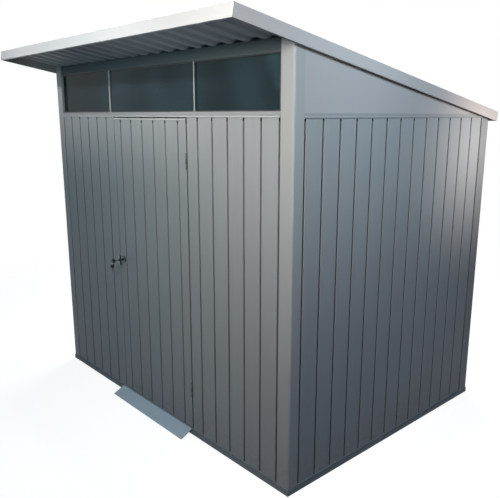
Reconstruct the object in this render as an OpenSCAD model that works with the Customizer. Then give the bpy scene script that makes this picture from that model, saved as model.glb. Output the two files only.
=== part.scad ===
// Metal tool shed with a lean-to roof, a strip of windows and one hinged door.
// X runs to the right along the front, Y to the rear, Z up. The origin is on the
// ground under the middle of the whole shed, roof overhangs included.

/* [Walls] */
// Width over the front corner posts
wall_w = 2400; // [1900:10:3200]
// Depth from the front wall face to the rear wall face
wall_d = 1786; // [1300:1:2600]
// Spacing of the grooves in the wall sheets
groove_pitch = 124; // [100:1:160]
// Width of a groove at the sheet's face
groove_w = 13; // [8:0.5:20]
// Depth of a groove
groove_d = 8; // [4:0.5:12]
// Thickness of the folded wall sheets
sheet_t = 1.2; // [0.8:0.1:2]
// Front face of a front or rear corner post, to the middle of its groove
post_face_w = 88; // [60:1:120]
// Side face of a front corner post, to the middle of its groove
post_side_front_w = 76; // [60:1:120]
// Side face of a rear corner post, to the middle of its groove
post_side_rear_w = 98; // [60:1:120]
// Outer radius of a corner post's fold
post_r = 12; // [6:1:20]
// Thickness of the corner posts
post_t = 1.6; // [1:0.1:3]

/* [Base rail and floor] */
// Height of the base rail's lower band
base_band_h = 31; // [20:1:36]
// Distance that the base rail's lower band stands out of the walls
base_proud = 1; // [1:1:15]
// Height of the ledge that the wall sheets stand on
ledge_h = 40; // [40:1:80]
// Width of the base rail's flange on the ground
base_foot_w = 45; // [30:1:80]
// Thickness of the base rail
base_t = 2; // [1.5:0.1:4]
// Thickness of the floor sheet
floor_t = 2; // [1:0.5:6]
// Number of joists under the floor
joist_count = 4; // [2:1:8]

/* [Doorway and door] */
// Width of the door leaf
door_w = 774; // [600:1:900]
// Gap beside the door leaf on its latch side
latch_gap = 6; // [5:0.5:10]
// Gap beside the door leaf on its hinge side
hinge_gap = 12; // [12:0.5:16]
// Gap under and over the door leaf
door_gap = 6; // [5:0.5:10]
// Depth of the stiffening channels behind the door's sheet
door_frame_d = 20; // [15:1:30]
// Height of the rolled trim along the door's top edge
door_trim_h = 11; // [8:1:20]
// Distance that the rolled trims stand out of the sheets
trim_proud = 5; // [3:0.5:8]
// Width of the channels beside the doorway
jamb_w = 40; // [25:1:60]

/* [Hinges] */
// Distance from the rail under the windows down to the upper hinge's middle
upper_hinge_drop = 236; // [100:1:500]
// Distance from the ledge up to the lower hinge's middle
lower_hinge_rise = 260; // [100:1:500]
// Length of a hinge
hinge_h = 90; // [60:1:120]
// Radius of a hinge's knuckles
knuckle_r = 5.5; // [4.5:0.5:7]
// Radius of a hinge's pin
hinge_pin_r = 2.5; // [2:0.25:3.5]
// Radial clearance of the pin in the door's knuckle
pin_clearance = 0.08; // [0.05:0.01:0.1]

/* [Handle and keys] */
// Distance from the door's latch edge to the middle of the handle
handle_inset = 43; // [35:1:90]
// Height of the handle
handle_z = 970; // [850:1:1100]
// Length of the handle's grip
grip_len = 64; // [50:1:100]
// Radius of the lock barrel in the handle
barrel_r = 10; // [8:0.5:14]
// Distance from the door's face to the end of the lock barrel
barrel_out = 46; // [35:1:60]
// Radius of a key's head
key_head_r = 13.5; // [10:0.5:16]
// Thickness of a key's head
key_head_t = 5; // [3:0.5:7]
// Radius of the key ring, to the middle of its wire
ring_r = 10; // [8:0.5:16]

/* [Windows] */
// Bottom of the rail under the windows
sill_z = 1893; // [1700:1:2000]
// Height of the rail under the windows
sill_h = 29; // [20:1:50]
// Distance from the fascia's lower edge, over the front wall face, down to the windows' top
header_drop = 23; // [0:1:60]
// Distance between the two window bars
bar_spacing = 906; // [500:1:1200]
// Width of a window bar
bar_w = 10; // [8:1:30]
// Thickness of the window panes
pane_t = 4; // [2:0.5:8]

/* [Roof] */
// Fall of the roof towards the rear, in degrees
roof_fall = 10.35; // [8:0.05:12]
// Distance from the side trim down to the fascia's lower edge, over the rear wall face
rear_drop = 11.2; // [0:0.1:20]
// Height of the fascia, square to the roof
fascia_h = 58; // [50:1:90]
// Front overhang of the roof
overhang_front = 375; // [150:5:600]
// Rear overhang of the roof
overhang_rear = 49; // [30:1:200]
// Side overhang of the roof
overhang_side = 28; // [20:1:100]
// Width of the fascia's top and bottom folds
fascia_fold = 14; // [10:1:18]
// Thickness of the fascia
fascia_t = 1.5; // [1:0.1:3]
// Spacing of the roof sheet's ribs
rib_pitch = 126; // [80:1:200]
// Height of the roof sheet's ribs
rib_h = 16; // [10:0.5:18]
// Distance from the rail under the windows down to the side trim
side_trim_drop = 5; // [0:1:20]
// Height of the side trim
side_trim_h = 25; // [15:1:40]

/* [Ramp] */
// Width of the threshold ramp over that of the door
ramp_wider = 32; // [0:1:80]
// Distance that the ramp sits to the left of the door's middle
ramp_shift = 17; // [0:1:40]
// Distance that the ramp reaches out of the front wall face
ramp_reach = 87; // [60:1:200]
// Thickness of the ramp's plate
ramp_t = 2.5; // [1.5:0.5:5]

/* [Hidden] */

$fn = 32;
smooth = 48;
far = 6000;
// How far a cut or a joined shape runs past a face
bite = 1;
half_w = wall_w / 2;
// Places that follow from the roof's fall are kept to a hundredth of a millimetre
function to_hundredth(v) = round(100 * v) / 100;
// The overall box runs from the front fascia's lower edge to the rear fascia's upper edge
fascia_lean = fascia_h * sin(roof_fall);
front_y = -to_hundredth((wall_d + overhang_rear + fascia_lean - overhang_front) / 2);
rear_y = front_y + wall_d;

// Widths of the post faces up to the edge of the groove beside them
post_face = post_face_w - groove_w / 2;
post_side_front = post_side_front_w - groove_w / 2;
post_side_rear = post_side_rear_w - groove_w / 2;
// The sheets lap behind the posts
lap = 22;
groove_slope = 3;
groove_floor_w = groove_w - 2 * groove_slope;
// Half the widening of a groove at the sheet's back
bend = 0.7 * sheet_t;
strip_min = 60;
fold_d = groove_d + sheet_t;
ledge_out = 3;
web_in = 4;
// The floor sheet stops at the folds of the posts
floor_inset = groove_d;
floor_top = ledge_h - base_t;
joist_w = 40;
joist_gap = 1;
ramp_w = door_w + ramp_wider;
ramp_flat = 5;
ramp_lip = 6;

// Heights of the side trims and of the fascia's lower edge over the front wall face
side_trim_z = sill_z - side_trim_drop;
eave_z = to_hundredth(side_trim_z - rear_drop + wall_d * tan(roof_fall));
header_z = eave_z - header_drop;

// Roof levels, square to the roof above the fascia's lower edge
roof_seat = 0.2;
roof_top = fascia_h - fascia_t - roof_seat;
roof_under = roof_top - rib_h - sheet_t;
roof_front = -overhang_front / cos(roof_fall);
roof_rear = (wall_d + overhang_rear) / cos(roof_fall);
rib_crown = 0.49 * rib_pitch;
rib_pan = 0.3 * rib_pitch;
roof_half_w = half_w + overhang_side;
sheet_margin = 1;
beam_h = 50;
beam_d = 30;

// The wall sheets end and the gables start behind the middle of the side trims
side_joint_z = side_trim_z + side_trim_h / 2;

// Doorway
door_half = door_w / 2;
door_z0 = ledge_h + door_gap;
door_z1 = sill_z - door_gap;
opening_left = -door_half - latch_gap;
opening_right = door_half + hinge_gap;
hinge_x = door_half + hinge_gap / 2;
upper_hinge_z = sill_z - upper_hinge_drop;
lower_hinge_z = ledge_h + lower_hinge_rise;
hinge_out = 5;
hinge_plate_t = 2;
hinge_plate_d = 26;
knuckle_gap = 0.5;
knuckle_h = hinge_h / 3;
channel_t = 2;
rail_h = 60;
stile_w = 40;

// Windows
header_recess = groove_d;
header_d = 30;
header_lap = 20;
pane_in = 20;
bar_out = 7;
bead_h = 12;
sill_top = sill_z + sill_h;
sill_d = 30;
trim_face = 1;
pane_lap = 15;
pane_end = half_w - post_face + pane_lap;
pane_joint = bar_spacing / 2;
pane_gap = 0.4;

// Handle and keys
handle_x = -door_half + handle_inset;
rose_r = 23;
rose_t = 6;
neck_r = 8;
grip_w = 14;
grip_out = 26;
grip_d = 12;
key_stem = 22;
spindle_r = 4;
seat_gap = 0.3;
key_hole_r = 3.5;
key_rim = 2;
wire_r = 0.9;
ring_rest = 0.6;
key_head_out = barrel_out + key_stem + key_head_r - bite;
key_hole_out = key_head_out + key_head_r - key_hole_r - key_rim;
ring_top_z = handle_z - key_hole_r + wire_r + ring_rest;
ring_z = ring_top_z - ring_r;
spare_hole_z = ring_z - ring_r - key_hole_r + wire_r + ring_rest;
spare_head_z = spare_hole_z - (key_head_r - key_hole_r - key_rim);
blade_w = 8;
blade_t = 2.2;
blade_len = 26;

function groove_line(c, drop, grow) = [
    [c - groove_w / 2 - grow, drop],
    [c - groove_floor_w / 2 - grow, groove_d + drop],
    [c + groove_floor_w / 2 + grow, groove_d + drop],
    [c + groove_w / 2 + grow, drop]
];

// One side of a grooved sheet in plan, drop behind its face. An end at a post starts on the
// groove's floor, behind the post, and any other end is folded inwards.
function sheet_line(x0, x1, grooves, post0, post1, drop, grow) = concat(
    post0 ? [[x0 - lap, groove_d + drop],
             [x0 + groove_floor_w / 2 + grow, groove_d + drop],
             [x0 + groove_w / 2 + grow, drop]]
          : [[x0 + drop, fold_d], [x0 + drop, drop]],
    [for (c = grooves) each groove_line(c, drop, grow)],
    post1 ? [[x1 - groove_w / 2 - grow, drop],
             [x1 - groove_floor_w / 2 - grow, groove_d + drop],
             [x1 + lap, groove_d + drop]]
          : [[x1 - drop, drop], [x1 - drop, fold_d]]
);

function reversed(list) = [for (i = [len(list) - 1 : -1 : 0]) list[i]];

// A grooved sheet from z0 to z1, with its face at y = 0 and its back towards +y
module grooved_sheet(x0, x1, grooves, post0, post1, z0, z1) {
    face = sheet_line(x0, x1, grooves, post0, post1, 0, 0);
    back = sheet_line(x0, x1, grooves, post0, post1, sheet_t, bend);
    translate([0, 0, z0])
        linear_extrude(z1 - z0)
            polygon(concat(face, reversed(back)));
}

// Grooves evenly spaced between two posts, without the ones at the posts
function even_grooves(x0, x1) =
    let (n = round((x1 - x0) / groove_pitch), step = (x1 - x0) / n)
    [for (i = [1 : n - 1]) x0 + i * step];

// Each wall's own frame: x runs along the wall, y inwards from its face
module on_front() {
    translate([0, front_y, 0]) children();
}

module on_rear() {
    translate([0, rear_y, 0]) rotate([0, 0, 180]) children();
}

module on_right() {
    translate([half_w, front_y, 0]) rotate([0, 0, 90]) children();
}

module on_left() {
    mirror([1, 0, 0]) on_right() children();
}

// The roof's own frame: y runs down the roof from the front wall face, z is square to it
module on_roof() {
    translate([0, front_y, eave_z]) rotate([-roof_fall, 0, 0]) children();
}

module below_roof(level) {
    difference() {
        children();
        on_roof() translate([-far / 2, -far / 2, level]) cube([far, far, far]);
    }
}

// Extrudes a section drawn in y and z along x, from x0 to x1
module along_x(x0, x1) {
    translate([x0, 0, 0]) rotate([90, 0, 90]) linear_extrude(x1 - x0) children();
}

// A rolled edge: a round bead of height h standing proud of y = 0
module bead_section(h, proud) {
    r = (h * h / 4 + proud * proud) / (2 * proud);
    intersection() {
        translate([r - proud, h / 2]) circle(r, $fn = smooth);
        translate([-proud, 0]) square([proud, h]);
    }
}

// A folded channel in plan: its back at y = 0, its two legs towards +y
module channel_plan(w, d, t) {
    square([w, t]);
    square([t, d]);
    translate([w - t, 0]) square([t, d]);
}

// The same channel lying along x, drawn in y and z
module channel_section(w, d, t) {
    square([t, w]);
    square([d, t]);
    translate([0, w - t]) square([d, t]);
}

// Base rail: a mitred foot and lower band, then a recess and the ledge between the posts
module base_rail(length, leg0, leg1) {
    difference() {
        along_x(-2 * base_proud, length + 2 * base_proud)
            polygon([
                [-base_proud, 0], [base_foot_w, 0], [base_foot_w, base_t],
                [web_in + base_t, base_t], [web_in + base_t, base_band_h],
                [-base_proud, base_band_h]
            ]);
        rotate([0, 0, -45]) translate([-far, -far / 2, -bite]) cube([far, far, ledge_h]);
        translate([length, 0, 0])
            rotate([0, 0, 45]) translate([0, -far / 2, -bite]) cube([far, far, ledge_h]);
    }
    along_x(leg0, length - leg1)
        polygon([
            [web_in, base_band_h], [web_in + base_t, base_band_h], [web_in + base_t, ledge_h],
            [-ledge_out, ledge_h], [-ledge_out, floor_top], [web_in, floor_top]
        ]);
}

module base_rail_front() {
    color("dimgray") on_front() translate([-half_w, 0, 0]) base_rail(wall_w, post_face, post_face);
}

module base_rail_rear() {
    color("dimgray") on_rear() translate([-half_w, 0, 0]) base_rail(wall_w, post_face, post_face);
}

module base_rail_right() {
    color("dimgray") on_right() base_rail(wall_d, post_side_front, post_side_rear);
}

module base_rail_left() {
    color("dimgray") on_left() base_rail(wall_d, post_side_front, post_side_rear);
}

// Floor sheet on joists, inside the base rails
module floor_sheet() {
    color("gray")
        translate([-half_w + floor_inset, front_y + floor_inset, floor_top - floor_t])
            cube([wall_w - 2 * floor_inset, wall_d - 2 * floor_inset, floor_t]);
}

module floor_joists() {
    clear_w = wall_w - 2 * base_foot_w;
    step = clear_w / (joist_count + 1);
    joist_y = base_foot_w + joist_gap;
    joist_h = floor_top - floor_t;
    color("gray")
        for (i = [1 : joist_count])
            translate([-clear_w / 2 + i * step - joist_w / 2, front_y + joist_y, 0])
                difference() {
                    cube([joist_w, wall_d - 2 * joist_y, joist_h]);
                    translate([base_t, -bite, -bite])
                        cube([joist_w - 2 * base_t, wall_d, joist_h - base_t + bite]);
                }
}

// Ramp from the ledge to the ground, with a turned lower edge
module threshold_ramp() {
    top_y = -ledge_out - ramp_flat;
    under = ledge_h - ramp_t - bite;
    color("lightsteelblue")
        on_front()
            along_x(-ramp_shift - ramp_w / 2, -ramp_shift + ramp_w / 2)
                polygon([
                    [-ledge_out, ledge_h], [top_y, ledge_h],
                    [-ramp_reach, ramp_t], [-ramp_reach, 0], [-ramp_reach + ramp_lip, 0],
                    [top_y + bite, under], [-ledge_out, under]
                ]);
}

// Corner post in plan: the corner at the origin, one leg along +x and one along +y,
// each leg ending in a short fold
module post_plan(leg_x, leg_y) {
    translate([post_r, post_r])
        intersection() {
            difference() {
                circle(post_r, $fn = smooth);
                circle(post_r - post_t, $fn = smooth);
            }
            translate([-2 * post_r, -2 * post_r]) square(2 * post_r);
        }
    translate([post_r, 0]) square([leg_x - post_r, post_t]);
    translate([0, post_r]) square([post_t, leg_y - post_r]);
    translate([leg_x - post_t, 0]) square([post_t, groove_d]);
    translate([0, leg_y - post_t]) square([groove_d, post_t]);
}

module corner_post(leg_y) {
    translate([-half_w, 0, base_band_h])
        linear_extrude(eave_z + fascia_h - base_band_h)
            post_plan(post_face, leg_y);
}

module post_front_left() {
    color("silver") below_roof(roof_under) on_front() corner_post(post_side_front);
}

module post_front_right() {
    color("silver")
        below_roof(roof_under) mirror([1, 0, 0]) on_front() corner_post(post_side_front);
}

module post_rear_right() {
    color("silver") below_roof(roof_under) on_rear() corner_post(post_side_rear);
}

module post_rear_left() {
    color("silver") below_roof(roof_under) mirror([1, 0, 0]) on_rear() corner_post(post_side_rear);
}

// Front wall sheets: grooves step from the post towards the doorway
module front_wall(edge_x) {
    post_x = half_w - post_face_w;
    n = floor((post_x - edge_x - strip_min) / groove_pitch);
    grooves = [for (i = [n : -1 : 1]) post_x - i * groove_pitch];
    color("silver") on_front() grooved_sheet(edge_x, post_x, grooves, false, true, ledge_h, sill_z);
}

module front_wall_right() {
    front_wall(opening_right);
}

module front_wall_left() {
    mirror([1, 0, 0]) front_wall(-opening_left);
}

module side_sheet() {
    x0 = post_side_front_w;
    x1 = wall_d - post_side_rear_w;
    grooved_sheet(x0, x1, even_grooves(x0, x1), true, true, ledge_h, side_joint_z);
}

module right_wall() {
    color("silver") on_right() side_sheet();
}

module left_wall() {
    color("silver") on_left() side_sheet();
}

module rear_wall() {
    x1 = half_w - post_face_w;
    color("silver")
        on_rear()
            grooved_sheet(-x1, x1, even_grooves(-x1, x1), true, true, ledge_h, side_joint_z);
}

// Plain sheet between the side wall's trim and the roof
module gable() {
    gable_h = eave_z + fascia_h - side_joint_z;
    translate([post_side_front, 0, side_joint_z])
        cube([wall_d - post_side_front - post_side_rear, sheet_t, gable_h]);
}

module right_gable() {
    color("silver") below_roof(roof_under) on_right() gable();
}

module left_gable() {
    color("silver") below_roof(roof_under) on_left() gable();
}

// Rolled trim over the joint between wall sheet and gable: a bead under a flat face
module trim_section(h) {
    bead_section(bead_h, trim_proud);
    translate([-trim_face, bead_h / 2]) square([trim_face, h - bead_h / 2]);
}

module side_trim() {
    translate([0, 0, side_trim_z])
        along_x(post_side_front, wall_d - post_side_rear) trim_section(side_trim_h);
}

module right_trim() {
    color("lightgray") on_right() side_trim();
}

module left_trim() {
    color("lightgray") on_left() side_trim();
}

module rear_top_rail() {
    x1 = half_w - post_face;
    color("lightgray")
        below_roof(roof_under)
            on_rear() {
                translate([0, 0, side_trim_z]) along_x(-x1, x1) trim_section(side_trim_h);
                translate([-x1, 0, side_joint_z])
                    cube([2 * x1, sheet_t, eave_z + fascia_h - side_joint_z]);
            }
}

// Window strip
module window_sill_rail() {
    x1 = half_w - post_face;
    color("lightgray")
        on_front()
            translate([0, 0, sill_z])
                along_x(-x1, x1) {
                    trim_section(sill_h);
                    square([sill_d, sill_h]);
                }
}

module window_header() {
    x1 = half_w - post_face + header_lap;
    color("slategray")
        below_roof(roof_under)
            on_front()
                translate([-x1, header_recess, header_z])
                    cube([2 * x1, header_d, eave_z + fascia_h - header_z]);
}

module window_bar(x) {
    color("white")
        on_front()
            translate([x - bar_w / 2, pane_in - bar_out, sill_top])
                cube([bar_w, bar_out, header_z - sill_top]);
}

module window_bar_left() {
    window_bar(-bar_spacing / 2);
}

module window_bar_right() {
    window_bar(bar_spacing / 2);
}

module window_pane(x0, x1) {
    color("darkslategray")
        on_front()
            translate([x0, pane_in, sill_top])
                cube([x1 - x0, pane_t, header_z - sill_top]);
}

module window_pane_left() {
    window_pane(-pane_end, -pane_joint - pane_gap);
}

module window_pane_middle() {
    window_pane(-pane_joint + pane_gap, pane_joint - pane_gap);
}

module window_pane_right() {
    window_pane(pane_joint + pane_gap, pane_end);
}

// Channels beside the doorway, from the floor to the rail under the windows
module door_jamb(x0) {
    color("gray")
        on_front()
            translate([x0, fold_d, floor_top])
                linear_extrude(sill_z - floor_top)
                    channel_plan(jamb_w, sill_d - fold_d, channel_t);
}

module door_jamb_left() {
    door_jamb(opening_left - jamb_w);
}

module door_jamb_right() {
    door_jamb(opening_right);
}

// Door leaf
module door_sheet() {
    n = floor((door_w - 2 * strip_min) / groove_pitch) + 1;
    grooves = [for (i = [0 : n - 1]) (i - (n - 1) / 2) * groove_pitch];
    color("silver")
        on_front() grooved_sheet(-door_half, door_half, grooves, false, false, door_z0, door_z1);
}

module door_top_trim() {
    color("lightgray")
        on_front()
            translate([0, 0, door_z1 - door_trim_h])
                along_x(-door_half, door_half) bead_section(door_trim_h, trim_proud);
}

// Channels behind the door's sheet
module door_rails() {
    x1 = door_half - stile_w;
    color("gray")
        on_front()
            for (z = [door_z0, handle_z - rail_h / 2, door_z1 - rail_h])
                translate([0, fold_d, z])
                    along_x(-x1, x1) channel_section(rail_h, door_frame_d, channel_t);
}

module door_stiles() {
    color("gray")
        on_front()
            for (x = [-door_half, door_half - stile_w])
                translate([x, fold_d, door_z0])
                    linear_extrude(door_z1 - door_z0)
                        channel_plan(stile_w, door_frame_d, channel_t);
}

// A length of a hinge's barrel, from z0 to z1
module knuckle(z0, z1, r) {
    translate([hinge_x, -hinge_out, z0]) cylinder(h = z1 - z0, r = r);
}

// The frame's leaf holds the pin and the two outer knuckles
module frame_leaf() {
    difference() {
        union() {
            translate([opening_right - hinge_plate_t, -hinge_out, 0])
                cube([hinge_plate_t, hinge_out + hinge_plate_d, hinge_h]);
            knuckle(0, knuckle_h, knuckle_r);
            knuckle(2 * knuckle_h, hinge_h, knuckle_r);
        }
        knuckle(knuckle_h, 2 * knuckle_h, knuckle_r + knuckle_gap);
    }
    knuckle(0, hinge_h, hinge_pin_r);
}

module door_leaf() {
    difference() {
        union() {
            translate([door_half, -hinge_out, 0])
                cube([hinge_plate_t, hinge_out + hinge_plate_d, hinge_h]);
            knuckle(knuckle_h + knuckle_gap, 2 * knuckle_h - knuckle_gap, knuckle_r);
        }
        knuckle(-bite, knuckle_h + knuckle_gap, knuckle_r + knuckle_gap);
        knuckle(2 * knuckle_h - knuckle_gap, hinge_h + bite, knuckle_r + knuckle_gap);
        knuckle(0, hinge_h, hinge_pin_r + pin_clearance);
    }
}

module hinge_frame_leaves() {
    color("darkgray")
        on_front()
            for (z = [lower_hinge_z, upper_hinge_z])
                translate([0, 0, z - hinge_h / 2]) frame_leaf();
}

module hinge_door_leaves() {
    color("darkgray")
        on_front()
            for (z = [lower_hinge_z, upper_hinge_z])
                translate([0, 0, z - hinge_h / 2]) door_leaf();
}

// A round bar pointing out of the door at the handle, from out0 to out1 off the door's face
module out_bar(out0, out1, r) {
    translate([handle_x, -out0, handle_z]) rotate([90, 0, 0]) cylinder(h = out1 - out0, r = r);
}

module handle_rose() {
    color("darkgray")
        on_front()
            difference() {
                out_bar(0, rose_t, rose_r);
                out_bar(-bite, rose_t + bite, spindle_r + pin_clearance);
            }
}

// T-shaped handle with its spindle and lock barrel
module handle() {
    color("silver")
        on_front() {
            out_bar(seat_gap, rose_t + bite, spindle_r);
            out_bar(rose_t + seat_gap, grip_out + bite, neck_r);
            out_bar(grip_out, barrel_out, barrel_r);
            translate([handle_x, -grip_out, handle_z])
                rotate([90, 0, 0])
                    linear_extrude(grip_d) {
                        for (side = [-1, 1])
                            translate([0, side * (grip_len - grip_w) / 2]) circle(grip_w / 2);
                        square([grip_w, grip_len - grip_w], center = true);
                    }
        }
}

// A key's head, square to the door, with a hole for the ring
module key_head(out, z, hole_out, hole_z) {
    rotate([0, 90, 0])
        difference() {
            translate([-z, -out, -key_head_t / 2]) cylinder(h = key_head_t, r = key_head_r);
            translate([-hole_z, -hole_out, -key_head_t])
                cylinder(h = 2 * key_head_t, r = key_hole_r);
        }
}

module key() {
    color("black")
        on_front()
            translate([handle_x, 0, 0]) {
                key_head(key_head_out, handle_z, key_hole_out, handle_z);
                translate([-blade_t / 2, -barrel_out - key_stem, handle_z - blade_w / 2])
                    cube([blade_t, key_stem, blade_w]);
            }
}

module key_ring() {
    color("silver")
        on_front()
            translate([handle_x, -key_hole_out, ring_z])
                rotate([90, 0, 0])
                    rotate_extrude($fn = smooth) translate([ring_r, 0]) circle(wire_r);
}

module spare_key() {
    blade_top = spare_head_z - key_head_r + bite;
    color("black")
        on_front()
            translate([handle_x, 0, 0]) {
                key_head(key_hole_out, spare_head_z, key_hole_out, spare_hole_z);
                translate([-blade_t / 2, -key_hole_out - blade_w / 2, blade_top - blade_len])
                    cube([blade_t, blade_w, blade_len]);
            }
}

// Roof: one ribbed sheet inside a fascia on all four sides
module rib_line(n) {
    polygon(concat(
        [for (i = [-n : n], p = rib_points(i, 0)) p],
        reversed([for (i = [-n : n], p = rib_points(i, sheet_t)) p])
    ));
}

function rib_points(i, rise) = [
    [i * rib_pitch - rib_pan / 2, rise], [i * rib_pitch + rib_pan / 2, rise],
    [(i + 0.5) * rib_pitch - rib_crown / 2, rib_h + rise],
    [(i + 0.5) * rib_pitch + rib_crown / 2, rib_h + rise]
];

module roof_sheet() {
    x1 = roof_half_w - fascia_t - sheet_margin;
    y0 = roof_front + fascia_t + sheet_margin;
    y1 = roof_rear - fascia_t - sheet_margin;
    n = ceil(x1 / rib_pitch);
    color("slategray")
        on_roof()
            translate([0, y1, roof_under])
                rotate([90, 0, 0])
                    linear_extrude(y1 - y0)
                        intersection() {
                            rib_line(n);
                            translate([-x1, -bite]) square([2 * x1, rib_h + sheet_t + 2 * bite]);
                        }
}

module fascia_section() {
    square([fascia_t, fascia_h]);
    square([fascia_fold, fascia_t]);
    translate([0, fascia_h - fascia_t]) square([fascia_fold, fascia_t]);
}

module fascia_front() {
    color("whitesmoke")
        on_roof()
            translate([0, roof_front, 0]) end_fascia();
}

module fascia_rear() {
    color("whitesmoke")
        on_roof()
            translate([0, roof_rear, 0]) mirror([0, 1, 0]) end_fascia();
}

// The front and rear fascias run the full width, and their folds stop at the side ones
module end_fascia() {
    along_x(-roof_half_w, roof_half_w) square([fascia_t, fascia_h]);
    along_x(-roof_half_w + fascia_fold, roof_half_w - fascia_fold) fascia_section();
}

module fascia_right() {
    color("lightgray") on_roof() side_fascia();
}

module fascia_left() {
    color("lightgray") on_roof() mirror([1, 0, 0]) side_fascia();
}

module side_fascia() {
    translate([roof_half_w, roof_rear - fascia_t, 0])
        rotate([90, 0, 0])
            linear_extrude(roof_rear - roof_front - 2 * fascia_t)
                mirror([1, 0]) fascia_section();
}

// Channel under the middle of the roof sheet, between the gables
module roof_beam() {
    x1 = half_w - sheet_t;
    color("gray")
        on_roof()
            translate([0, (wall_d / cos(roof_fall) - beam_d) / 2, roof_under - roof_seat - beam_h])
                along_x(-x1, x1) channel_section(beam_h, beam_d, channel_t);
}

base_rail_front();
base_rail_rear();
base_rail_left();
base_rail_right();
floor_sheet();
floor_joists();
threshold_ramp();
post_front_left();
post_front_right();
post_rear_left();
post_rear_right();
front_wall_left();
front_wall_right();
left_wall();
right_wall();
rear_wall();
left_gable();
right_gable();
left_trim();
right_trim();
rear_top_rail();
window_sill_rail();
window_header();
window_bar_left();
window_bar_right();
window_pane_left();
window_pane_middle();
window_pane_right();
door_jamb_left();
door_jamb_right();
door_sheet();
door_top_trim();
door_rails();
door_stiles();
hinge_frame_leaves();
hinge_door_leaves();
handle_rose();
handle();
key();
key_ring();
spare_key();
roof_sheet();
fascia_front();
fascia_rear();
fascia_left();
fascia_right();
roof_beam();
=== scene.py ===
import math

import bmesh
import bpy
from mathutils import Matrix, Vector


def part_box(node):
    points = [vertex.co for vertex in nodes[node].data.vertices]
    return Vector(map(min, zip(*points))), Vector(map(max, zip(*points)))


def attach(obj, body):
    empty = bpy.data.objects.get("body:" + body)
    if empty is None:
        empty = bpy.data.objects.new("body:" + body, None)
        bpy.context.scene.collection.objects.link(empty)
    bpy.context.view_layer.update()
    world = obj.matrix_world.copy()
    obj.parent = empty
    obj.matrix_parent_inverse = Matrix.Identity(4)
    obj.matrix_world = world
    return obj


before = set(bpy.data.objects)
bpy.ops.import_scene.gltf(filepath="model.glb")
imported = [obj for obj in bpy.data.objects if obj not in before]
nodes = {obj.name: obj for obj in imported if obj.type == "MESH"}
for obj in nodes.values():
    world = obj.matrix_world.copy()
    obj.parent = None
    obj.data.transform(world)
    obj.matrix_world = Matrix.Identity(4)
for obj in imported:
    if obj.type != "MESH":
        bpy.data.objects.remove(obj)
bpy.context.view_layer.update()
scene = bpy.context.scene

# ---------------------------------------------------------------- places from the CAD frame
left_post, right_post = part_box("post_front_left"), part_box("post_front_right")
corner = Vector((right_post[1].x, right_post[0].y, 0.0))
front_y = corner.y
rear_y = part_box("post_rear_right")[1].y
half_w = corner.x
ledge_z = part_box("base_rail_front")[1].z
wall_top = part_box("window_sill_rail")[0].z
door_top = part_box("door_top_trim")[0].z


# ---------------------------------------------------------------- node helpers
class Nodes:
    """An emptied node tree, with short calls for making and linking nodes."""

    def __init__(self, tree):
        self.tree = tree
        self.tree.nodes.clear()

    def node(self, kind, **settings):
        n = self.tree.nodes.new(kind)
        for key, value in settings.items():
            setattr(n, key, value)
        return n

    def link(self, a, b):
        self.tree.links.new(a, b)

    def math(self, operation, a, b):
        n = self.node("ShaderNodeMath", operation=operation)
        for socket, v in zip(n.inputs, (a, b)):
            if isinstance(v, (int, float)):
                socket.default_value = v
            else:
                self.link(v, socket)
        return n.outputs["Value"]

    def coloured(self, kind, colour, strength=None):
        """A shader of one colour, such as a diffuse surface, an emission or a background."""
        n = self.node(kind)
        n.inputs["Color"].default_value = (*colour, 1.0)
        if strength is not None:
            n.inputs["Strength"].default_value = strength
        return n.outputs[0]

    def mix_shaders(self, factor, a, b):
        n = self.node("ShaderNodeMixShader")
        for socket, v in zip(n.inputs, (factor, a, b)):
            self.link(v, socket)
        return n.outputs[0]

    def seen(self):
        """1 for rays from the camera, or mirrored or let through by a surface, and 0 for light."""
        ray = self.node("ShaderNodeLightPath").outputs
        glossy_or_through = self.math("MAXIMUM", ray["Is Glossy Ray"], ray["Is Transmission Ray"])
        return self.math("MAXIMUM", ray["Is Camera Ray"], glossy_or_through)


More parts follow.
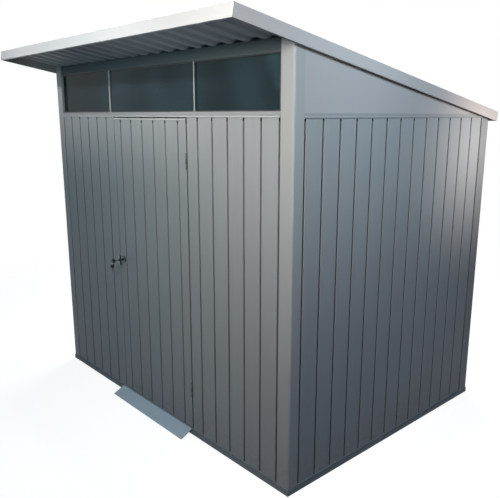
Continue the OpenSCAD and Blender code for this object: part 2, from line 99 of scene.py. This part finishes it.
class Shader(Nodes):
    """A material's node tree, with short calls for the textures used here."""

    def __init__(self, name):
        self.material = bpy.data.materials.new(name)
        self.material.use_nodes = True
        super().__init__(self.material.node_tree)
        self.out = self.node("ShaderNodeOutputMaterial")
        self.bsdf = self.node("ShaderNodeBsdfPrincipled")
        self.link(self.bsdf.outputs["BSDF"], self.out.inputs["Surface"])
        self.object_co = self.node("ShaderNodeTexCoord").outputs["Object"]

    def stretched(self, scale):
        m = self.node("ShaderNodeMapping")
        m.inputs["Scale"].default_value = scale
        self.link(self.object_co, m.inputs["Vector"])
        return m.outputs["Vector"]

    def noise(self, scale, stretch=(1, 1, 1), detail=3.0, rough=0.55):
        n = self.node("ShaderNodeTexNoise")
        n.inputs["Scale"].default_value = scale
        n.inputs["Detail"].default_value = detail
        n.inputs["Roughness"].default_value = rough
        self.link(self.stretched(stretch), n.inputs["Vector"])
        return n.outputs["Fac"]

    def cells(self, scale):
        n = self.node("ShaderNodeTexVoronoi", feature="F1")
        n.inputs["Scale"].default_value = scale
        self.link(self.object_co, n.inputs["Vector"])
        to_value = self.node("ShaderNodeSeparateColor")
        self.link(n.outputs["Color"], to_value.inputs["Color"])
        return to_value.outputs["Red"]

    def ranged(self, value, low, high, to_low, to_high, smooth=False):
        n = self.node("ShaderNodeMapRange", clamp=True)
        if smooth:
            n.interpolation_type = "SMOOTHSTEP"
        for key, v in zip(
            ("From Min", "From Max", "To Min", "To Max"), (low, high, to_low, to_high)
        ):
            n.inputs[key].default_value = v
        self.link(value, n.inputs["Value"])
        return n.outputs["Result"]

    def mix(self, factor, a, b):
        n = self.node("ShaderNodeMix", data_type="RGBA")
        self.link(factor, n.inputs["Factor"])
        for key, v in (("A", a), ("B", b)):
            socket = [s for s in n.inputs if s.name == key and s.type == "RGBA"][0]
            if isinstance(v, (tuple, list)):
                socket.default_value = (*v, 1.0)
            else:
                self.link(v, socket)
        return [s for s in n.outputs if s.type == "RGBA"][0]

    def axis(self, name):
        n = self.node("ShaderNodeSeparateXYZ")
        self.link(self.object_co, n.inputs["Vector"])
        return n.outputs[name]

    def wall_depth(self):
        """Distance behind the nearest outer wall face."""
        x, y = self.axis("X"), self.axis("Y")
        from_side = self.math("SUBTRACT", half_w, self.math("ABSOLUTE", x, 0.0))
        from_front = self.math("SUBTRACT", y, front_y)
        from_rear = self.math("SUBTRACT", rear_y, y)
        return self.math("MINIMUM", from_side, self.math("MINIMUM", from_front, from_rear))

    def away_from(self, point):
        n = self.node("ShaderNodeVectorMath", operation="DISTANCE")
        self.link(self.object_co, n.inputs[0])
        n.inputs[1].default_value = point
        return n.outputs["Value"]

    def bump(self, *heights):
        """Each height is (value, strength, distance)."""
        normal = None
        for value, strength, distance in heights:
            n = self.node("ShaderNodeBump")
            n.inputs["Strength"].default_value = strength
            n.inputs["Distance"].default_value = distance
            self.link(value, n.inputs["Height"])
            if normal is not None:
                self.link(normal, n.inputs["Normal"])
            normal = n.outputs["Normal"]
        self.link(normal, self.bsdf.inputs["Normal"])

    def set(self, **values):
        """Sets the shader's own sockets, named with _ for each space."""
        for key, v in values.items():
            self.bsdf.inputs[key.replace("_", " ")].default_value = v

    def drive(self, socket, value):
        self.link(value, self.bsdf.inputs[socket])


def shade(colour, factor):
    return tuple(min(1.0, c * factor) for c in colour)


# ---------------------------------------------------------------- materials
DUST_HEIGHT = 0.32
DUST_COLOUR = (0.13, 0.12, 0.10)
# Painted shadow: near black at the top of each groove, just under the trim
TRIM_SHADOW_COLOUR = (0.02, 0.02, 0.02)
KEY_BLADE = (0.22, 0.23, 0.24)
# Height of the painted highlight along the top edge of the base band
EDGE_HIGHLIGHT = 0.005


def painted_sheet(
    name, colour, roughness, vary=0.03, dust=0.25, wave=0.4, groove_shade=0.0, lip=0.0, top=0.0
):
    """Factory-painted sheet steel: faint vertical streaks, clouding, orange peel and ground dust.

    groove_shade darkens what lies in the grooves, a painted shade, and paints a near-black shadow
    just under the trim at height top. From height lip on, the sheet is lighter: a painted highlight
    along the top edge of the base band.
    """
    s = Shader(name)
    streaks = s.noise(9.0, (3.0, 3.0, 0.12), 4.0)
    clouds = s.noise(1.6, detail=2.0)
    tone = s.math("ADD", s.math("MULTIPLY", streaks, 0.5), s.math("MULTIPLY", clouds, 0.5))
    tone = s.ranged(tone, 0.35, 0.65, 0.0, 1.0)
    base = s.mix(tone, shade(colour, 1 - vary), shade(colour, 1 + vary))
    low_down = s.ranged(s.axis("Z"), 0.0, DUST_HEIGHT, 1.0, 0.0, smooth=True)
    specks = s.ranged(s.noise(42.0, detail=5.0, rough=0.7), 0.42, 0.62, 0.0, 1.0)
    dirt = s.math("MULTIPLY", s.math("MULTIPLY", low_down, specks), dust)
    base = s.mix(dirt, base, DUST_COLOUR)
    if groove_shade:
        depth = s.wall_depth()
        # Painted shade: the deeper in a groove, the darker, and near black just under the trim
        deep = s.ranged(depth, 0.0010, 0.0050, 0.0, groove_shade, smooth=True)
        base = s.mix(deep, base, shade(colour, 0.12))
        trim_shadow = s.ranged(s.axis("Z"), top - 0.022, top - 0.012, 0.0, 0.95, smooth=True)
        in_groove = s.ranged(depth, 0.0004, 0.002, 0.0, 1.0)
        base = s.mix(s.math("MULTIPLY", trim_shadow, in_groove), base, TRIM_SHADOW_COLOUR)
    if lip:
        # Painted highlight: the top edge of the base band lighter
        edge = s.ranged(s.axis("Z"), lip - 0.0004, lip, 0.0, 1.0)
        base = s.mix(edge, base, shade(colour, 1.6))
    s.drive("Base Color", base)
    worn = s.noise(26.0, (1, 1, 0.4), 4.0)
    s.drive("Roughness", s.ranged(worn, 0.3, 0.7, roughness - 0.05, roughness + 0.06))
    panel_wave = (s.noise(2.3, (1, 1, 0.45), 1.0), wave, 0.004)
    orange_peel = (s.noise(650.0, detail=1.0), 0.06, 0.0004)
    s.bump(panel_wave, orange_peel)
    s.set(Specular_IOR_Level=0.06)
    return s.material


def galvanised(name, colour, roughness=0.42, metallic=0.55, cell=70.0, spread=0.15):
    """Galvanised steel with its crystal spangle and dull patches."""
    s = Shader(name)
    spangle = s.cells(cell)
    patches = s.noise(5.0, detail=4.0)
    tone = s.math("ADD", s.math("MULTIPLY", spangle, 0.55), s.math("MULTIPLY", patches, 0.45))
    s.drive("Base Color", s.mix(tone, shade(colour, 1 - spread), shade(colour, 1 + spread)))
    rough = s.ranged(spangle, 0.0, 1.0, roughness - spread / 2, roughness + spread / 2)
    s.drive("Roughness", rough)
    s.bump((s.noise(300.0, detail=2.0), 0.08, 0.0004))
    s.set(Metallic=metallic)
    return s.material


def polished(name, colour, roughness):
    """Plated metal with fine scratches."""
    s = Shader(name)
    dulled = s.noise(60.0, detail=4.0)
    s.drive("Base Color", s.mix(dulled, shade(colour, 0.9), shade(colour, 1.05)))
    scratches = s.noise(240.0, (1, 8, 1), 3.0)
    s.drive("Roughness", s.ranged(scratches, 0.3, 0.7, roughness * 0.7, roughness * 1.5))
    s.bump((s.noise(900.0, (1, 12, 1), 2.0), 0.05, 0.0002))
    s.set(Metallic=1.0)
    return s.material


def moulded_surface(s, colour, roughness, grain):
    """Gives s the grain of moulded plastic or rubber, and returns its colour."""
    rough = s.ranged(s.noise(300.0, detail=2.0), 0.3, 0.7, roughness - 0.05, roughness + 0.08)
    s.drive("Roughness", rough)
    s.bump((s.noise(grain, detail=2.0), 0.25, 0.0003))
    return s.mix(s.noise(90.0, detail=3.0), shade(colour, 0.8), shade(colour, 1.25))


def moulded(name, colour, roughness, grain):
    s = Shader(name)
    s.drive("Base Color", moulded_surface(s, colour, roughness, grain))
    return s.material


def key_finish(name, colour, roughness, centre, head_r):
    """A moulded head about centre on a plain steel blade."""
    s = Shader(name)
    head = moulded_surface(s, colour, roughness, 1100.0)
    blade = s.ranged(s.away_from(centre), head_r + 0.0004, head_r + 0.0008, 0.0, 1.0)
    s.drive("Base Color", s.mix(blade, head, KEY_BLADE))
    s.drive("Metallic", blade)
    return s.material


def window_sheet(name, colour):
    """Dark tinted glazing with faint slanting bands, a painted reflection, and a slight ripple."""
    s = Shader(name)
    # Painted reflection: slanting lighter and darker bands in the tint
    slant = s.node("ShaderNodeMapping")
    slant.inputs["Rotation"].default_value = (0.0, math.radians(-24), 0.0)
    slant.inputs["Scale"].default_value = (1.0, 1.0, 0.3)
    s.link(s.object_co, slant.inputs["Vector"])
    slant_reflection = s.node("ShaderNodeTexNoise")
    slant_reflection.inputs["Scale"].default_value = 2.6
    slant_reflection.inputs["Detail"].default_value = 3.0
    slant_reflection.inputs["Distortion"].default_value = 0.6
    s.link(slant.outputs["Vector"], slant_reflection.inputs["Vector"])
    reflection_mix = s.ranged(slant_reflection.outputs["Fac"], 0.36, 0.66, 0.0, 1.0, smooth=True)
    s.drive("Base Color", s.mix(reflection_mix, shade(colour, 0.75), shade(colour, 1.3)))
    s.drive("Roughness", s.ranged(s.noise(14.0, detail=4.0), 0.3, 0.7, 0.03, 0.09))
    s.bump((s.noise(3.0, (1, 1, 0.8), 1.0), 0.12, 0.001))
    s.set(IOR=1.2, Specular_IOR_Level=0.1, Transmission_Weight=0.6)
    return s.material


# groove_shade is painted shade in the grooves of the walls and the door
wall_paint = painted_sheet("wall_paint", (0.248, 0.260, 0.267), 0.36, groove_shade=0.72, top=wall_top)
door_paint = painted_sheet("door_paint", (0.245, 0.257, 0.264), 0.36, groove_shade=0.55, top=door_top)
post_paint = painted_sheet("post_paint", (0.279, 0.288, 0.291), 0.34, vary=0.02, wave=0.15)
# Painted shade: a darker copy of the post paint for the rear posts
shaded_post_paint = painted_sheet("shaded_post_paint", (0.20, 0.207, 0.212), 0.34, vary=0.02, wave=0.15)
base_paint = painted_sheet(
    "base_paint", (0.175, 0.20, 0.218), 0.45, dust=0.35, wave=0.1, lip=ledge_z - EDGE_HIGHLIGHT
)


def clean_sheet(name, colour, roughness, vary, wave):
    """Painted sheet steel too high up for ground dust."""
    return painted_sheet(name, colour, roughness, vary=vary, dust=0.0, wave=wave)


gable_paint = clean_sheet("gable_paint", (0.308, 0.300, 0.304), 0.36, 0.012, 0.2)
trim_paint = clean_sheet("trim_paint", (0.235, 0.244, 0.25), 0.32, 0.02, 0.1)
# Painted highlight: a lighter copy of the trim paint for the rolled beads
bead_highlight_paint = clean_sheet("bead_highlight_paint", (0.37, 0.38, 0.38), 0.32, 0.02, 0.1)
# Painted light: lighter copies of the sheet paint for the front and side fascias, the side one
# warmer
lit_fascia_paint = clean_sheet("lit_fascia_paint", (0.43, 0.44, 0.445), 0.36, 0.012, 0.15)
side_fascia = clean_sheet("side_fascia", (0.362, 0.342, 0.338), 0.36, 0.012, 0.15)
roof_paint = clean_sheet("roof_paint", (0.40, 0.42, 0.43), 0.42, 0.03, 0.4)
# Painted shade: header and lip near black for the shade under the overhang; the lip a little
# lighter, a painted highlight on the header's lower edge
shaded_header_paint = clean_sheet("shaded_header_paint", (0.055, 0.068, 0.075), 0.5, 0.03, 0.1)
shaded_lip_paint = clean_sheet("shaded_lip_paint", (0.065, 0.082, 0.09), 0.45, 0.03, 0.1)
bar_paint = clean_sheet("bar_paint", (0.30, 0.315, 0.315), 0.38, 0.02, 0.05)

inner_zinc = galvanised("inner_zinc", (0.40, 0.41, 0.41))
floor_zinc = galvanised("floor_zinc", (0.26, 0.27, 0.27), 0.5, 0.35, 60.0)
ramp_zinc = galvanised("ramp_zinc", (0.38, 0.48, 0.56), 0.42, 0.1, 60.0, 0.03)
hinge_zinc = galvanised("hinge_zinc", (0.10, 0.105, 0.10), 0.42, 0.4, 200.0)
# Partly painted shade: the hinge steel, darker for the door's leaves and knuckle
shaded_knuckle_zinc = galvanised("shaded_knuckle_zinc", (0.05, 0.052, 0.052), 0.42, 0.4, 200.0)
screw_zinc = galvanised("screw_zinc", (0.30, 0.31, 0.32), 0.38, 0.6, 300.0)

chrome = polished("chrome", (0.16, 0.18, 0.195), 0.18)
rose_metal = polished("rose_metal", (0.07, 0.08, 0.085), 0.3)
ring_steel = polished("ring_steel", (0.45, 0.46, 0.47), 0.22)
rubber = moulded("rubber", (0.018, 0.019, 0.02), 0.6, 700.0)
glazing = window_sheet("glazing", (0.028, 0.056, 0.068))

key_low, key_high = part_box("key")
key_head_r = (key_high.z - key_low.z) / 2
key_black = (0.012, 0.013, 0.014)
key_x = (key_low.x + key_high.x) / 2
key_centre = (key_x, key_low.y + key_head_r, key_low.z + key_head_r)
key_paint = key_finish("key_paint", key_black, 0.42, key_centre, key_head_r)
spare_low, spare_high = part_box("spare_key")
spare_centre = (key_x, (spare_low.y + spare_high.y) / 2, spare_high.z - key_head_r)
spare_paint = key_finish("spare_paint", key_black, 0.42, spare_centre, key_head_r)

PAINT = {
    "base_rail_front": base_paint,
    "base_rail_rear": base_paint,
    "base_rail_left": base_paint,
    "base_rail_right": base_paint,
    "floor_sheet": floor_zinc,
    "floor_joists": inner_zinc,
    "threshold_ramp": ramp_zinc,
    "post_front_left": post_paint,
    "post_front_right": post_paint,
    "post_rear_left": shaded_post_paint,
    "post_rear_right": shaded_post_paint,
    "front_wall_left": wall_paint,
    "front_wall_right": wall_paint,
    "left_wall": wall_paint,
    "right_wall": wall_paint,
    "rear_wall": wall_paint,
    "left_gable": gable_paint,
    "right_gable": gable_paint,
    "left_trim": trim_paint,
    "right_trim": trim_paint,
    "rear_top_rail": trim_paint,
    "window_sill_rail": trim_paint,
    "window_header": shaded_header_paint,
    "window_bar_left": bar_paint,
    "window_bar_right": bar_paint,
    "window_pane_left": glazing,
    "window_pane_middle": glazing,
    "window_pane_right": glazing,
    "door_jamb_left": inner_zinc,
    "door_jamb_right": inner_zinc,
    "door_sheet": door_paint,
    "door_top_trim": bead_highlight_paint,
    "door_rails": inner_zinc,
    "door_stiles": inner_zinc,
    "hinge_frame_leaves": hinge_zinc,
    "hinge_door_leaves": shaded_knuckle_zinc,
    "handle_rose": rose_metal,
    "handle": chrome,
    "key": key_paint,
    "key_ring": ring_steel,
    "spare_key": spare_paint,
    "roof_sheet": roof_paint,
    "fascia_front": lit_fascia_paint,
    "fascia_rear": lit_fascia_paint,
    "fascia_left": side_fascia,
    "fascia_right": side_fascia,
    "roof_beam": inner_zinc,
}


def paint(obj, material):
    obj.data.materials.clear()
    obj.data.materials.append(material)


for node_name, node_object in nodes.items():
    paint(node_object, PAINT[node_name])


# ---------------------------------------------------------------- mesh helpers
SHARP_ANGLE = math.radians(30)


def piece(name, bm, material, body):
    """Makes an object from bm, in the row frame, riding on a body."""
    mesh = bpy.data.meshes.new(name)
    bm.normal_update()
    bm.to_mesh(mesh)
    bm.free()
    obj = bpy.data.objects.new(name, mesh)
    scene.collection.objects.link(obj)
    mesh.materials.append(material)
    mesh.polygons.foreach_set("use_smooth", [True] * len(mesh.polygons))
    mesh.set_sharp_from_angle(angle=SHARP_ANGLE)
    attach(obj, body)


def lathe(bm, profile, place, steps):
    """Turns a profile of (radius, height) about the local Z of place."""
    rings = []
    for r, h in profile:
        if r == 0:
            rings.append([bm.verts.new(place @ Vector((0, 0, h)))])
            continue
        ring = []
        for i in range(steps):
            a = 2 * math.pi * i / steps
            ring.append(bm.verts.new(place @ Vector((r * math.cos(a), r * math.sin(a), h))))
        rings.append(ring)
    for low, high in zip(rings, rings[1:]):
        for i in range(steps):
            j = (i + 1) % steps
            if len(low) == 1:
                bm.faces.new((low[0], high[j], high[i]))
            elif len(high) == 1:
                bm.faces.new((low[i], low[j], high[0]))
            else:
                bm.faces.new((low[i], low[j], high[j], high[i]))


def hex_screw(bm, place):
    """A hex-head roofing screw on its bonded washer, its axis along the local Z of place."""
    washer_r, head_r, head_h = 0.0085, 0.0045, 0.005
    washer_t = washer_r * 0.16
    washer = [
        (washer_r * 0.96, 0),
        (washer_r, washer_t * 0.5),
        (washer_r * 0.9, washer_t),
        (head_r * 1.35, washer_t * 1.25),
        (0, washer_t * 1.25),
    ]
    top = washer_t + head_h
    head = [
        (head_r * 1.12, washer_t),
        (head_r * 1.12, washer_t + head_h * 0.72),
        (head_r * 0.9, top),
        (0, top),
    ]
    lathe(bm, washer, place, 18)
    lathe(bm, head, place, 6)


def pan_screw(bm, place, r, h):
    """A low domed head with a slight rim and a hollow middle."""
    dome = [(r, 0), (r, h * 0.35), (r * 0.86, h * 0.75), (r * 0.5, h), (r * 0.22, h), (0, h * 0.55)]
    lathe(bm, dome, place, 16)


def facing(point, direction):
    """A frame at point whose local Z looks along direction."""
    turn = Vector(direction).to_track_quat("Z", "Y").to_matrix().to_4x4()
    return Matrix.Translation(point) @ turn


def soften(bm, edges, offset):
    bmesh.ops.bevel(bm, geom=edges, offset=offset, segments=2, profile=0.5, affect="EDGES")


def seal(name, low, high, widths):
    """A rubber frame between two corners, its bars widths wide: left, right, upper and lower."""
    left, right, ends = widths
    bm = bmesh.new()
    loops = []
    for y in (low.y, high.y):
        for a, b, c in ((0.0, 0.0, 0.0), (left, right, ends)):
            x0, x1, z0, z1 = low.x + a, high.x - b, low.z + c, high.z - c
            corners = ((x0, z0), (x1, z0), (x1, z1), (x0, z1))
            loops.append([bm.verts.new((x, y, z)) for x, z in corners])
    outer0, inner0, outer1, inner1 = loops
    for i in range(4):
        j = (i + 1) % 4
        bm.faces.new((outer0[i], outer0[j], inner0[j], inner0[i]))
        bm.faces.new((outer1[j], outer1[i], inner1[i], inner1[j]))
        bm.faces.new((outer0[j], outer0[i], outer1[i], outer1[j]))
        bm.faces.new((inner0[i], inner0[j], inner1[j], inner1[i]))
    bmesh.ops.recalc_face_normals(bm, faces=bm.faces)
    soften(bm, bm.edges[:], 0.001)
    piece(name, bm, rubber, "shell")


def soft_box(bm, low, high, soft):
    """A box with softened edges, added to bm."""
    made = bmesh.ops.create_cube(bm, size=1.0)
    size = Vector(high) - Vector(low)
    middle = (Vector(high) + Vector(low)) / 2
    for v in made["verts"]:
        v.co = Vector((v.co.x * size.x, v.co.y * size.y, v.co.z * size.z)) + middle
    edges = list(dict.fromkeys(e for v in made["verts"] for e in v.link_edges))
    soften(bm, edges, soft)


# What keeps an added piece off the CAD face behind it
CLEAR = 0.0001

# ---------------------------------------------------------------- window seals
SEAL_W = 0.006
SEAL_PROUD = 0.0035
# The outer seals reach behind the posts, and the right one is wider and deeper there
SEAL_TUCK = 0.002
LEFT_SEAL_W = 0.004
RIGHT_SEAL_W = 0.020
RIGHT_SEAL_PROUD = 0.009

left_bar, right_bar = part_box("window_bar_left"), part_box("window_bar_right")
for side, x0, x1, proud, widths in (
    ("left", left_post[1].x - SEAL_TUCK, left_bar[0].x, SEAL_PROUD, (LEFT_SEAL_W, SEAL_W, SEAL_W)),
    ("middle", left_bar[1].x, right_bar[0].x, SEAL_PROUD, (SEAL_W, SEAL_W, SEAL_W)),
    (
        "right",
        right_bar[1].x,
        right_post[0].x + SEAL_TUCK,
        RIGHT_SEAL_PROUD,
        (SEAL_W, RIGHT_SEAL_W, SEAL_W),
    ),
):
    pane_low, pane_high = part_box("window_pane_" + side)
    seal(
        "seal_" + side,
        Vector((x0, pane_low.y - proud, pane_low.z + 2 * CLEAR)),
        Vector((x1, pane_low.y - CLEAR, pane_high.z - 2 * CLEAR)),
        widths,
    )

# ---------------------------------------------------------------- post returns beside the window
RETURN_T = 0.0006
RETURN_START = 0.0075
pane_low, pane_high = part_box("window_pane_left")
bm = bmesh.new()
for edge, inwards in ((left_post[1].x, 1), (right_post[0].x, -1)):
    near, far = edge - 2 * CLEAR * inwards, edge - (2 * CLEAR + RETURN_T) * inwards
    soft_box(
        bm,
        (min(near, far), front_y + RETURN_START, pane_low.z),
        (max(near, far), pane_low.y - 2 * CLEAR, pane_high.z),
        0.0001,
    )
piece("post_returns", bm, post_paint, "shell")


# ---------------------------------------------------------------- header's lip, sill's bead
def edge_strip(name, rail, ends_in, proud, z0, z1, soft, material):
    """A strip along the lower edge of a rail's front face, from z0 to z1 over the rail's bottom."""
    low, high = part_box(rail)
    bm = bmesh.new()
    soft_box(
        bm,
        (low.x + ends_in, low.y - proud, low.z + z0),
        (high.x - ends_in, low.y - CLEAR, low.z + z1),
        soft,
    )
    piece(name, bm, material, "shell")


# Painted shade: the lip in near-black paint, slightly lighter than the header
edge_strip(
    "header_lip",
    "window_header",
    ends_in=0.0,
    proud=0.0012,
    z0=0.0003,
    z1=0.0070,
    soft=0.0005,
    material=shaded_lip_paint,
)
# Painted highlight: the sill's bead in the lighter bead paint
edge_strip(
    "sill_bead",
    "window_sill_rail",
    ends_in=0.0005,
    proud=0.0016,
    z0=0.0004,
    z1=0.0060,
    soft=0.0006,
    material=bead_highlight_paint,
)

# ---------------------------------------------------------------- roof screws
roof = nodes["roof_sheet"]
roof_points = [v.co.copy() for v in roof.data.vertices]
front_top = max(roof_points, key=lambda p: (round(p.z, 5), p.x))
rear_top = max(roof_points, key=lambda p: (round(p.y, 5), p.x))
fall = math.atan2(front_top.z - rear_top.z, rear_top.y - front_top.y)
up = Vector((0.0, math.sin(fall), math.cos(fall)))
down_roof = Vector((0.0, math.cos(fall), -math.sin(fall)))
edges = sorted(
    {
        round(p.x, 4)
        for p in roof_points
        if abs((p - front_top).dot(up)) < 0.0002 and abs((p - front_top).dot(down_roof)) < 0.001
    }
)
crowns = [(a + b) / 2 for a, b in zip(edges[::2], edges[1::2])]
roof_len = (rear_top - front_top).dot(down_roof)
# Near the front edge, over the front wall, over the beam and over the rear wall
screw_rows = (0.05, 0.39, roof_len / 2, roof_len - 0.09)
bm = bmesh.new()
for row in screw_rows:
    for x in crowns:
        start = Vector((x, front_top.y, front_top.z))
        hex_screw(bm, facing(start + down_roof * row, up))
piece("roof_screws", bm, screw_zinc, "shell")

# ---------------------------------------------------------------- fascia screws
FASCIA_SCREW_IN = 0.012
FASCIA_SCREW_DOWN = 0.028
bm = bmesh.new()
half_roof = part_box("fascia_right")[1].x
for sign in (-1, 1):
    for along in (FASCIA_SCREW_IN, roof_len - FASCIA_SCREW_IN):
        spot = front_top + down_roof * along - up * FASCIA_SCREW_DOWN
        spot.x = sign * half_roof
        pan_screw(bm, facing(spot, (sign, 0, 0)), 0.004, 0.001)
piece("fascia_screws", bm, screw_zinc, "shell")

# ---------------------------------------------------------------- hinge rivets
HINGE_HALF_H = 0.045
RIVET_RISE = 0.055
RIVET_OUT = 0.020
bm = bmesh.new()
leaf_low, leaf_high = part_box("hinge_frame_leaves")
rivet_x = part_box("door_jamb_right")[0].x + RIVET_OUT
for hinge_z in (leaf_low.z + HINGE_HALF_H, leaf_high.z - HINGE_HALF_H):
    for dz in (-RIVET_RISE, RIVET_RISE):
        spot = Vector((rivet_x, front_y - CLEAR, hinge_z + dz))
        pan_screw(bm, facing(spot, (0, -1, 0)), 0.0042, 0.0016)
piece("hinge_rivets", bm, trim_paint, "shell")

# ---------------------------------------------------------------- lock case behind the door
LOCK_HALF_W = 0.035
LOCK_HALF_H = 0.045
LOCK_SUNK = 0.0003
LOCK_D = 0.0115
LOCK_SCREW_IN = 0.008
rose_low, rose_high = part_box("handle_rose")
lock_x, lock_z = (rose_low.x + rose_high.x) / 2, (rose_low.z + rose_high.z) / 2
lock_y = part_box("door_stiles")[1].y
bm = bmesh.new()
soft_box(
    bm,
    (lock_x - LOCK_HALF_W, lock_y - LOCK_SUNK, lock_z - LOCK_HALF_H),
    (lock_x + LOCK_HALF_W, lock_y + LOCK_D, lock_z + LOCK_HALF_H),
    0.0015,
)
screw_dx, screw_dz = LOCK_HALF_W - LOCK_SCREW_IN, LOCK_HALF_H - LOCK_SCREW_IN
for x, z in ((-1, -1), (1, -1), (-1, 1), (1, 1)):
    spot = Vector((lock_x + x * screw_dx, lock_y + LOCK_D, lock_z + z * screw_dz))
    pan_screw(bm, facing(spot, (0, 1, 0)), 0.0035, 0.0014)
piece("lock_case", bm, inner_zinc, "door")

# ---------------------------------------------------------------- floor
FLOOR_R = 60.0
FLOOR_Z = -0.0005
# Between these distances from the shed's middle the lit floor turns to plain white
FADE_START, FADE_END = 2.2, 5.5
WHITE = (1.0, 1.0, 1.0)

floor_mesh = bpy.data.meshes.new("studio_floor")
bm = bmesh.new()
bmesh.ops.create_circle(bm, cap_ends=True, radius=FLOOR_R, segments=96)
bm.to_mesh(floor_mesh)
bm.free()
floor = bpy.data.objects.new("studio_floor", floor_mesh)
floor.location = (0, 0, FLOOR_Z)
scene.collection.objects.link(floor)

ground = Shader("studio_floor")
ground.tree.nodes.remove(ground.bsdf)
from_middle = ground.node("ShaderNodeVectorMath", operation="LENGTH")
ground.link(ground.object_co, from_middle.inputs[0])
away = ground.ranged(from_middle.outputs["Value"], FADE_START, FADE_END, 0.0, 1.0, smooth=True)
lit = ground.node("ShaderNodeAddShader")
ground.link(ground.coloured("ShaderNodeBsdfDiffuse", (0.36, 0.36, 0.36)), lit.inputs[0])
ground.link(ground.coloured("ShaderNodeEmission", WHITE, 0.86), lit.inputs[1])
shown = ground.mix_shaders(away, lit.outputs[0], ground.coloured("ShaderNodeEmission", WHITE, 1.0))
bounce = ground.coloured("ShaderNodeBsdfDiffuse", (0.30, 0.31, 0.32))
ground.link(ground.mix_shaders(ground.seen(), bounce, shown), ground.out.inputs["Surface"])
floor_mesh.materials.append(ground.material)

# ---------------------------------------------------------------- world
world = bpy.data.worlds.new("studio")
scene.world = world
world.use_nodes = True
w = Nodes(world.node_tree)
sky = w.mix_shaders(
    w.seen(),
    w.coloured("ShaderNodeBackground", (0.2, 0.45, 1.0), 0.12),
    w.coloured("ShaderNodeBackground", WHITE, 1.0),
)
w.link(sky, w.node("ShaderNodeOutputWorld").inputs["Surface"])


# ---------------------------------------------------------------- lamps
def area_light(name, at, to, size, spread, power, colour):
    data = bpy.data.lights.new(name, "AREA")
    data.shape = "RECTANGLE"
    data.size, data.size_y = size
    data.spread = math.radians(spread)
    data.energy = power
    data.color = colour
    obj = bpy.data.objects.new(name, data)
    obj.location = at
    obj.rotation_euler = (Vector(to) - Vector(at)).to_track_quat("-Z", "Y").to_euler()
    obj.visible_camera = False
    scene.collection.objects.link(obj)


# name, place, target, width and height, spread in degrees, power in watts, colour
LAMPS = [
    ("front_right", (1.65, front_y - 1.9, 2.55), (1.1, front_y, 1.75),
     (0.8, 0.4), 105.0, 24.0, (1.0, 0.94, 0.87)),
    ("front_left", (-0.2, front_y - 1.7, 2.3), (-0.4, front_y, 1.6),
     (1.3, 0.4), 140.0, 5.4, (0.42, 0.95, 1.0)),
    ("fascia_strip", (-0.35, front_y - 2.6, 3.3), (-0.35, front_y - 0.38, 2.33),
     (2.0, 0.2), 24.0, 4.0, (1.0, 0.88, 0.85)),
    ("soffit_low", (1.1, front_y - 1.5, 0.25), (0.45, front_y - 0.15, 2.3),
     (1.2, 0.3), 40.0, 0.5, (0.85, 0.95, 1.0)),
    ("left_return", (0.9, front_y - 0.9, 1.2), (-1.22, front_y - 0.2, 2.27),
     (0.3, 0.3), 22.0, 0.05, (1.0, 0.88, 0.82)),
    ("side_front", (half_w + 1.3, -0.3, 2.45), (half_w, -0.2, 2.1),
     (0.9, 0.4), 140.0, 14.0, (0.71, 0.89, 1.0)),
    ("side_rear", (half_w + 1.2, 1.0, 1.95), (half_w, 0.95, 1.72),
     (0.5, 0.3), 60.0, 3.4, (1.0, 0.90, 0.83)),
    ("overhead", (0.0, 0.1, 5.0), (0.0, 0.0, 0.0),
     (2.0, 1.8), 50.0, 20.0, (0.95, 0.98, 1.0)),
    ("rear_fill", (-2.6, rear_y + 2.2, 3.2), (-0.4, rear_y - 0.6, 1.1),
     (2.6, 1.6), 180.0, 135.0, (1.0, 0.98, 0.96)),
]
for lamp in LAMPS:
    area_light(*lamp)

# ---------------------------------------------------------------- camera
# Solved from the photo's straight edges, from the foot of the front right corner
CAMERA_OFFSET = Vector((1.863, -1.924, 1.905))
CAMERA_DOWN = 0.2227
CAMERA_TURN = 0.8412
CAMERA_SENSOR = 36.0
CAMERA_LENS = 42.6

camera_data = bpy.data.cameras.new("photo_camera")
camera_data.sensor_width = CAMERA_SENSOR
camera_data.lens = CAMERA_LENS
camera_data.clip_end = 200.0
camera = bpy.data.objects.new("photo_camera", camera_data)
camera.location = corner + CAMERA_OFFSET
camera.rotation_euler = (math.pi / 2 - CAMERA_DOWN, 0.0, CAMERA_TURN)
scene.collection.objects.link(camera)
scene.camera = camera

scene.view_settings.view_transform = "Standard"
